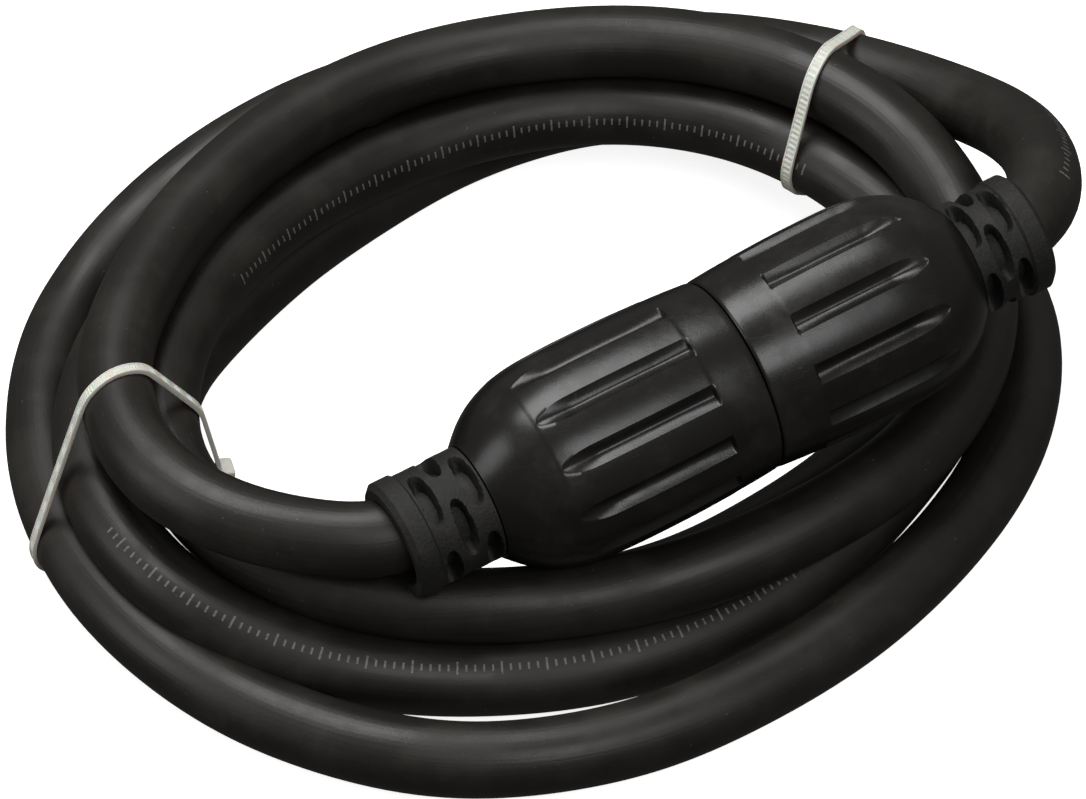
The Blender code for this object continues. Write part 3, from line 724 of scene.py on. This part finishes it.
def strain_relief(name, side, start_mm, length_mm, turn, replaced):
    """A sleeve with three staggered rows of oval slots and a thicker collar at the cord's end.

    The outer radius is constant, with a small step up to the collar and a chamfer at its end. A
    slot's depth is a smooth step of its oval distance: with the shares of the half length round
    the sleeve and of the half width along it, each raised to SLOT_ROUNDNESS and added, it is the
    sum's root of the same order.
    """
    body = length_mm - COLLAR_MM
    x = np.concatenate(
        [
            np.linspace(0.0, body, 64),
            [body + 0.5 * COLLAR_RAMP_MM, body + COLLAR_RAMP_MM],
            np.linspace(body + 1.0, length_mm - RELIEF_CHAMFER_MM, 8),
            length_mm - np.array([0.9, 0.5, 0.2, 0.0]),
        ]
    )
    collar = np.clip((x - body) / COLLAR_RAMP_MM, 0.0, 1.0)
    chamfer = np.clip(x - (length_mm - RELIEF_CHAMFER_MM), 0.0, RELIEF_CHAMFER_MM)
    radius = RELIEF_RADIUS_MM + COLLAR_STEP_MM * collar - chamfer
    angle = TURN * np.arange(RELIEF_COLUMNS) / RELIEF_COLUMNS
    dip = np.zeros((len(x), RELIEF_COLUMNS))
    pitch = body / SLOT_ROWS
    for row in range(SLOT_ROWS):
        off = (angle - turn) * SLOTS_PER_ROW / TURN + 0.5 * (row % 2)
        off = (off + 0.5) % 1.0 - 0.5
        share_round = off * 360.0 / SLOTS_PER_ROW / SLOT_HALF_LENGTH_DEG
        share_along = (x - pitch * (row + 0.5)) / SLOT_HALF_WIDTH_MM
        round_part = np.abs(share_round)[None, :] ** SLOT_ROUNDNESS
        along_part = np.abs(share_along)[:, None] ** SLOT_ROUNDNESS
        oval = (round_part + along_part) ** (1.0 / SLOT_ROUNDNESS)
        edge = np.clip((1.0 + SLOT_WALL_SHARE / 2.0 - oval) / SLOT_WALL_SHARE, 0.0, 1.0)
        dip = np.maximum(dip, SLOT_DEPTH_MM * edge * edge * (3.0 - 2.0 * edge))
    along = np.repeat((start_mm + x)[:, None], RELIEF_COLUMNS, axis=1)
    around = np.repeat(angle[None, :], len(x), axis=0)
    outer = on_axis(side, along, radius[:, None] - dip, around)
    end_mm = start_mm + length_mm
    inner_mm = np.array(
        [(end_mm, MOUTH_RADIUS_MM), (end_mm - MOUTH_DEPTH_MM, CORD_BORE_MM), (start_mm, CORD_BORE_MM)]
    )
    inner_along = np.repeat(inner_mm[:, :1], RELIEF_COLUMNS, axis=1)
    inner = on_axis(side, inner_along, inner_mm[:, 1:], around[: len(inner_mm)])
    points = np.concatenate([outer, inner], axis=0)
    if side > 0:
        points = points[:, ::-1]
    mesh = grid_mesh(name, points, True, ("rows",))
    obj = piece(name, mesh, RELIEF, RELIEF_SHARP_DEG)
    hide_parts(replaced)
    return obj


plug_relief = strain_relief(
    "plug_relief_sleeve",
    -1.0,
    PLUG_SHELL_MM + RELIEF_GAP_MM,
    PLUG_RELIEF_MM,
    PLUG_SLOT_TURN,
    "plug_strain_relief",
)
connector_relief = strain_relief(
    "connector_relief_sleeve",
    1.0,
    CONNECTOR_SHELL_MM + RELIEF_GAP_MM,
    CONNECTOR_RELIEF_MM,
    CONNECTOR_SLOT_TURN,
    "connector_strain_relief",
)


# ------------------------------------------------------------------------------ cable ties
def cord_vertices():
    """Places of all vertices of both cords, as one array."""
    parts = []
    for obj in (cord_wound, cord_lead):
        flat = np.empty(len(obj.data.vertices) * 3, np.float32)
        obj.data.vertices.foreach_get("co", flat)
        parts.append(flat.reshape(-1, 3).astype(float))
    return np.vstack(parts)


def hull(points):
    """Convex outline of flat points, anticlockwise, by walking the sorted points both ways."""
    order = points[np.lexsort((points[:, 1], points[:, 0]))]
    sides = []
    for line in (order, order[::-1]):
        side = []
        for p in line:
            while len(side) > 1 and np.cross(side[-1] - side[-2], p - side[-2]) <= 0:
                side.pop()
            side.append(p)
        sides.extend(side[:-1])
    return np.array(sides)


# middle azimuth of a tie, how it slants with the distance from the coil's middle, in degrees a
# millimetre, and the distance at which it crosses its middle azimuth
LEFT_TIE = (198.3, 0.14, 100.0)
RIGHT_TIE = (50.5, 0.12, 100.0)
TIE_THICKNESS = 1.1 * MM
TIE_STEP = 0.35 * MM
TIE_SLICE = 2.2 * MM
TIE_LEAST_REACH = 30.0 * MM
TIE_SMOOTHING = 30
TIE_OFF_CORD_MM = 0.08
TIE_LOWEST = 0.25 * MM
# the strap's section: place across as a share of its half width, lift as a share of its
# thickness, and which corners carry the teeth
STRAP_ACROSS = (-1.0, -0.93, -0.70, -0.66, 0.66, 0.70, 0.93, 1.0, 1.0, 0.93, -0.93, -1.0)
STRAP_LIFT = (0.82, 1.0, 1.0, 1.0, 1.0, 1.0, 1.0, 0.82, 0.18, 0.0, 0.0, 0.18)
STRAP_TOOTHED = (0.0, 0.0, 0.0, 1.0, 1.0, 0.0, 0.0, 0.0, 0.0, 0.0, 0.0, 0.0)
TOOTH_DEPTH_MM = 0.22
STRAP_SHARP_DEG = 30.0


def bundle_loop(middle_deg, slope_deg, middle_radius):
    """A closed loop that lies on the cords near a slanted plane through the coil's middle.

    At distance r from the middle the loop's azimuth is middle_deg + slope_deg * (r - middle_radius)
    per millimetre. The loop is the convex outline of the cord surface close to that plane.
    """
    places = cord_vertices()
    reach = np.hypot(places[:, 0], places[:, 1])
    turn = np.radians(middle_deg + slope_deg * (reach / MM - middle_radius))
    across = (np.arctan2(places[:, 1], places[:, 0]) - turn + math.pi) % TURN - math.pi
    near = (np.abs(across) * reach < TIE_SLICE) & (reach > TIE_LEAST_REACH)
    outline = hull(np.stack([reach[near], places[near, 2]], axis=1))
    closed = np.vstack([outline, outline[:1]])
    run = np.concatenate([[0.0], np.cumsum(np.linalg.norm(np.diff(closed, axis=0), axis=1))])
    count = int(run[-1] / TIE_STEP)
    wanted = run[-1] * np.arange(count) / count
    loop = np.stack([np.interp(wanted, run, closed[:, k]) for k in (0, 1)], axis=1)
    for _ in range(TIE_SMOOTHING):
        loop = 0.5 * loop + 0.25 * (np.roll(loop, 1, axis=0) + np.roll(loop, -1, axis=0))
    return loop


def cable_tie(name, middle_deg, slope_deg, middle_radius, width_mm, tooth_mm, replaced):
    """A strap round the bundle: a flat section carried along the bundle's outline.

    The section is a rounded oblong. Its outer face carries fine teeth, a triangle wave of the
    run along the strap, over the middle two thirds of its width.
    """
    loop = bundle_loop(middle_deg, slope_deg, middle_radius)
    along = np.roll(loop, -1, axis=0) - np.roll(loop, 1, axis=0)
    along /= np.linalg.norm(along, axis=1)[:, None]
    out = np.stack([along[:, 1], -along[:, 0]], axis=1)
    run = TIE_STEP * np.arange(len(loop)) / MM
    wave = np.abs((run / tooth_mm) % 1.0 - 0.5) * 2.0
    across = np.array(STRAP_ACROSS) * width_mm / 2.0
    lift = np.array(STRAP_LIFT) * TIE_THICKNESS / MM
    height = lift[None, :] - TOOTH_DEPTH_MM * np.array(STRAP_TOOTHED)[None, :] * wave[:, None]
    flat = loop[:, None, :] + out[:, None, :] * ((height + TIE_OFF_CORD_MM) * MM)[..., None]
    flat[..., 1] = np.maximum(flat[..., 1], TIE_LOWEST)
    reach = flat[..., 0]
    turn = np.radians(middle_deg + slope_deg * (reach / MM - middle_radius))
    points = np.stack(
        [
            reach * np.cos(turn) - across[None, :] * MM * np.sin(turn),
            reach * np.sin(turn) + across[None, :] * MM * np.cos(turn),
            flat[..., 1],
        ],
        axis=-1,
    )
    mesh = grid_mesh(name, points, True, ("rows",))
    obj = piece(name, mesh, NYLON, STRAP_SHARP_DEG)
    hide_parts(replaced)
    return obj


BLOCK_ROWS = 24
BLOCK_COLUMNS = 40
BLOCK_POWER = 0.22
BLOCK_POLE_GAP = 0.02
BLOCK_SHARP_DEG = 50.0
HEAD_HALF_MM = (2.6, 2.7, 1.9)
TAIL_HALF_MM = (2.0, 1.3, 0.5)
TAIL_TILT = 0.25
TAIL_INSIDE_MM = 0.8
TAIL_LIFT_MM = 0.7
HEAD_SPAN = 3


def rounded_block(name, middle, axes, half_mm):
    """A rounded block: a ball whose sines and cosines are each raised to a low power.

    With latitude a and longitude b, its three coordinates along the axes are the half sizes times
    cos a cos b, cos a sin b and sin a, each factor keeping its sign and raised to BLOCK_POWER.
    """
    top = math.pi / 2.0 - BLOCK_POLE_GAP
    a = np.linspace(-top, top, BLOCK_ROWS)[:, None]
    b = TURN * (np.arange(BLOCK_COLUMNS) + 0.5)[None, :] / BLOCK_COLUMNS
    waves = (np.cos(a), np.sin(a), np.cos(b), np.sin(b))
    cos_a, sin_a, cos_b, sin_b = (np.sign(wave) * np.abs(wave) ** BLOCK_POWER for wave in waves)
    shares = np.stack([cos_a * cos_b, cos_a * sin_b, sin_a * np.ones_like(b)], axis=-1)
    points = np.asarray(middle) + (shares * np.array(half_mm) * MM) @ np.array(axes)
    mesh = grid_mesh(name, points, True, ("start", "end"))
    return piece(name, mesh, NYLON, BLOCK_SHARP_DEG)


def tie_head(side_name, middle_deg, slope_deg, middle_radius, reach_mm, height_mm, way):
    """The square head that locks a tie, on the strap near (reach, height), and its cut tail.

    The tail leaves the head along the strap, anticlockwise for a way of 1 and back for -1.
    """
    loop = bundle_loop(middle_deg, slope_deg, middle_radius)
    at = int(np.argmin(np.hypot(loop[:, 0] - reach_mm * MM, loop[:, 1] - height_mm * MM)))
    step = loop[(at + HEAD_SPAN) % len(loop)] - loop[at - HEAD_SPAN]
    step = way * step / np.linalg.norm(step)
    turn = math.radians(middle_deg + slope_deg * (loop[at, 0] / MM - middle_radius))
    outward = np.array([math.cos(turn), math.sin(turn), 0.0])
    across = np.array([-math.sin(turn), math.cos(turn), 0.0])
    up = np.array([0.0, 0.0, 1.0])
    along = outward * step[0] + up * step[1]
    out = (outward * step[1] - up * step[0]) * way
    middle = outward * loop[at, 0] + up * loop[at, 1] + out * HEAD_HALF_MM[2] * MM
    tail_axis = along * math.cos(TAIL_TILT) + out * math.sin(TAIL_TILT)
    tail_out = out * math.cos(TAIL_TILT) - along * math.sin(TAIL_TILT)
    tail_reach = HEAD_HALF_MM[0] + TAIL_HALF_MM[0] - TAIL_INSIDE_MM
    tail_middle = middle + tail_axis * tail_reach * MM + out * TAIL_LIFT_MM * MM
    tail_axes = (tail_axis, across, tail_out)
    head = rounded_block(side_name + "_tie_head", middle, (along, across, out), HEAD_HALF_MM)
    tail = rounded_block(side_name + "_tie_tail", tail_middle, tail_axes, TAIL_HALF_MM)
    return head, tail


left_tie = cable_tie("left_tie_strap", *LEFT_TIE, 2.6, 0.75, "left_cable_tie")
right_tie = cable_tie("right_tie_strap", *RIGHT_TIE, 3.0, 1.25, "right_cable_tie")
tie_ends = tie_head("left", *LEFT_TIE, 70.0, 7.0, 1.0) + tie_head("right", *RIGHT_TIE, 125.0, 20.0, -1.0)


# ------------------------------------------------------------------------------ CAD nodes that stay
FINISH_OF_SLOT = {
    "face_insert": INSERT,
    "contact_metal": BRASS,
    "line_insulation": LINE_WIRE,
    "neutral_insulation": NEUTRAL_WIRE,
    "earth_insulation": EARTH_WIRE,
}
for entry in frame["record"]["subparts"]:
    if entry["material_slot"] in FINISH_OF_SLOT:
        node = frame["nodes"][entry["node"]]
        node.data.materials.clear()
        node.data.materials.append(FINISH_OF_SLOT[entry["material_slot"]])

# ------------------------------------------------------------------------------ what moves with what
for obj in (cord_wound, plug_housing, plug_relief, left_tie, right_tie, *tie_ends):
    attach(obj, "coil_and_plug")
for obj in (connector_housing, connector_relief):
    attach(obj, "connector")
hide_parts("cord_coil", "plug_lead")
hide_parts("connector_lead")
relief_start = pair_point(connector_mouth_mm + 2.0)
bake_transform(cord_lead)
tuple(pair_point(-plug_mouth_mm))
tuple(pair_point(connector_mouth_mm))

# ------------------------------------------------------------------------------ room and light
FLOOR_HALF = 6.0
FLOOR_LINES = 13


def make_floor():
    """A flat card that the camera and the lights see, and the object's own reflections don't."""
    ticks = np.linspace(-FLOOR_HALF, FLOOR_HALF, FLOOR_LINES)
    x, y = np.meshgrid(ticks, ticks)
    mesh = grid_mesh("floor", np.stack([x, y, np.zeros_like(x)], axis=-1), False)
    floor = bpy.data.objects.new("floor", mesh)
    bpy.context.scene.collection.objects.link(floor)
    mesh.materials.append(floor_finish())
    floor.visible_glossy = False
    floor.visible_diffuse = False


def softbox(name, place, aim, width, height, power):
    """A rectangular light at a place, turned to its aim."""
    data = bpy.data.lights.new(name, "AREA")
    data.shape = "RECTANGLE"
    data.size = width
    data.size_y = height
    data.energy = power
    lamp = bpy.data.objects.new(name, data)
    bpy.context.scene.collection.objects.link(lamp)
    lamp.location = place
    lamp.rotation_mode = "QUATERNION"
    lamp.rotation_quaternion = (Vector(aim) - Vector(place)).to_track_quat("-Z", "Y")


def make_world(below, level, above):
    """Studio surround whose brightness depends only on height: dark below, pale above."""
    bpy.context.scene.view_settings.view_transform = "Standard"
    world = bpy.data.worlds.new("studio")
    bpy.context.scene.world = world
    world.use_nodes = True
    start = Shade(world.node_tree, None)
    facing = start.node("ShaderNodeTexCoord", {}, {}, "Generated")
    height = facing.node("ShaderNodeSeparateXYZ", {}, {"Vector": facing}, "Z")
    warm = np.array([1.0, 0.975, 0.94])
    stops = [(0.42, tuple(below * warm)), (0.5, tuple(level * warm)), (1.0, tuple(above * warm))]
    sky = height.node("ShaderNodeValToRGB", {"stops": stops}, {"Fac": height * 0.5 + 0.5})
    background = world.node_tree.nodes["Background"]
    world.node_tree.links.new(sky.out, background.inputs["Color"])


make_floor()
make_world(0.07, 0.14, 0.22)
softbox("key_softbox", (-0.35, 0.35, 1.3), (0.0, 0.0, 0.0), 0.9, 0.7, 12.0)
softbox("front_softbox", (0.5, -1.0, 1.3), (0.0, 0.0, 0.0), 0.7, 0.7, 7.0)
softbox("left_softbox", (-1.4, -0.3, 0.7), (0.0, 0.0, 0.0), 0.6, 0.9, 4.0)
